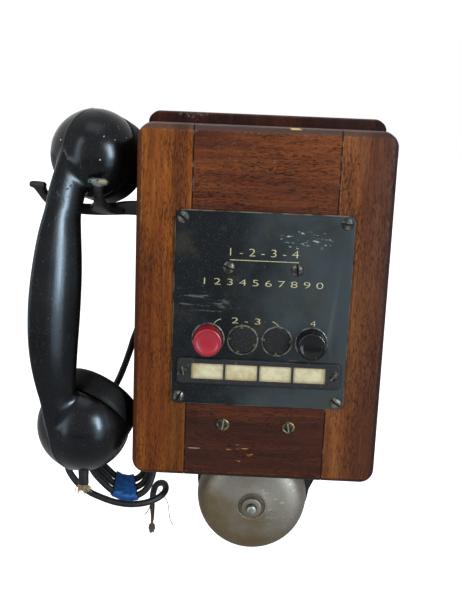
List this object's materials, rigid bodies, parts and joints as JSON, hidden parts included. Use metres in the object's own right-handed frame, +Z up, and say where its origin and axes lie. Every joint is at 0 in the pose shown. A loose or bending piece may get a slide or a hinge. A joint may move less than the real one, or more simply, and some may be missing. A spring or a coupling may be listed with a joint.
{
  "type": "wooden wall telephone",
  "caption": "Wooden wall telephone with a push-button plate on a bevelled front, a gong under the case and a black handset hung on a forked switch hook at its side.",
  "frame": {"origin": "middle of the backboard's back face, where the telephone stands against the wall", "axes": "X to the right seen from the front, Y into the wall, Z up; the telephone lies at Y below 0"},
  "size_m": [0.2351, 0.1029, 0.307],
  "materials": {
    "golden_wood": "golden mahogany with straight upright grain under old worn varnish, lighter worn edges",
    "plank_wood": "dark red-brown mahogany, level grain with short dark pores, satin old varnish with scuffs",
    "mahogany": "red-brown mahogany with fine grain under thin old varnish",
    "dark_wood": "dark brown hardwood, dusty along the top",
    "gunmetal": "blue-black oxidised plate, worn greenish brown in patches, with fine scratches",
    "dark_steel": "darkened steel screw heads, rubbed lighter on the dome",
    "steel": "plain plated steel, satin",
    "brass": "dull brass with brown tarnish",
    "gong_nickel": "tarnished nickel, grey-olive to brown, fine pits and scratches",
    "black_metal": "black japanned metal, worn to brass at the prong tip",
    "bakelite": "black bakelite, glossy with fine scuffs and dust specks",
    "matte_black": "matt black moulding with fine speckle",
    "red_plastic": "glossy crimson plastic with a paler dished face",
    "ivory_card": "aged ivory card, slightly stained",
    "fibre": "brown paper-based insulation, dull",
    "cord_black": "black rubber sheath with a soft gloss",
    "blue_tape": "wrinkled blue tape",
    "thread": "frayed cotton threads, cream to brown"
  },
  "bodies": {
    "case": {"backboard": "dark_wood", "case_top": "mahogany", "case_bottom": "mahogany", "case_right_side": "mahogany", "case_left_side": "mahogany", "front_centre_panel": "plank_wood", "front_left_stile": "golden_wood", "front_right_stile": "golden_wood", "button_plate": "gunmetal", "plate_screw_1": "dark_steel", "plate_screw_2": "dark_steel", "plate_screw_3": "dark_steel", "plate_screw_4": "dark_steel", "plate_mid_screw_1": "dark_steel", "plate_mid_screw_2": "dark_steel", "label_frame": "black_metal", "label_card": "ivory_card", "label_screw_1": "dark_steel", "label_screw_2": "dark_steel", "button_frame": "steel", "contact_block": "fibre", "red_return_spring": "steel", "red_contact_leaf": "brass", "black_return_spring": "steel", "black_contact_leaf": "brass", "blank_plug_1": "matte_black", "blank_plug_2": "matte_black", "cup_washer_1": "brass", "cup_screw_1": "dark_steel", "cup_washer_2": "brass", "cup_screw_2": "dark_steel", "gong": "gong_nickel", "gong_post": "steel", "gong_nut": "gong_nickel", "bell_base": "black_metal", "hammer_pivot": "steel", "bell_coil": "fibre", "hook_bracket": "steel", "hook_spring": "steel", "hook_contact_block": "fibre", "hook_contact_leaf": "brass", "induction_coil": "fibre", "condenser": "steel", "terminal_block": "bakelite", "cord_grommet": "bakelite", "line_cord": "cord_black", "cord_coil": "cord_black", "cord_tape": "blue_tape", "cord_end": "cord_black"},
    "handset": {"handset_handle": "bakelite", "ear_cap": "bakelite", "mouth_cap": "bakelite", "receiver_capsule": "steel", "transmitter_capsule": "steel", "handset_cord_sleeve": "cord_black", "handset_cord_braid": "thread"},
    "hook": {"switch_hook": "black_metal"},
    "red_push": {"red_button": "red_plastic"},
    "black_push": {"black_button": "bakelite"},
    "bell_hammer": {"hammer": "brass"}
  },
  "joints": [
    {"name": "handset_lift", "type": "slide", "parent": "case", "child": "handset", "axis": [-0.0175, 0.0883, 0.9959], "range_m": [0, 0.06]},
    {"name": "hook_rise", "type": "hinge", "parent": "case", "child": "hook", "pos_m": [-0.054, -0.056, 0.057], "axis": [0, 1, 0], "range_deg": [0, 7], "stiffness_Nm_per_rad": 0.05, "springref_deg": 11.46, "deforming": ["hook_spring"]},
    {"name": "red_press", "type": "slide", "parent": "case", "child": "red_push", "axis": [0, 1, 0], "range_m": [0, 0.004], "stiffness_N_per_m": 300, "springref_m": -0.002, "deforming": ["red_return_spring"]},
    {"name": "black_press", "type": "slide", "parent": "case", "child": "black_push", "axis": [0, 1, 0], "range_m": [0, 0.004], "stiffness_N_per_m": 300, "springref_m": -0.002, "deforming": ["black_return_spring"]},
    {"name": "hammer_swing", "type": "hinge", "parent": "case", "child": "bell_hammer", "pos_m": [0.0306, -0.021, -0.124], "axis": [0, -1, 0], "range_deg": [0, 2], "stiffness_Nm_per_rad": 0.02, "springref_deg": -5.73}
  ],
  "couplings": [
    {"joint": "hook_rise", "follows": "handset_lift", "rad_per_m": 2.0362}
  ]
}
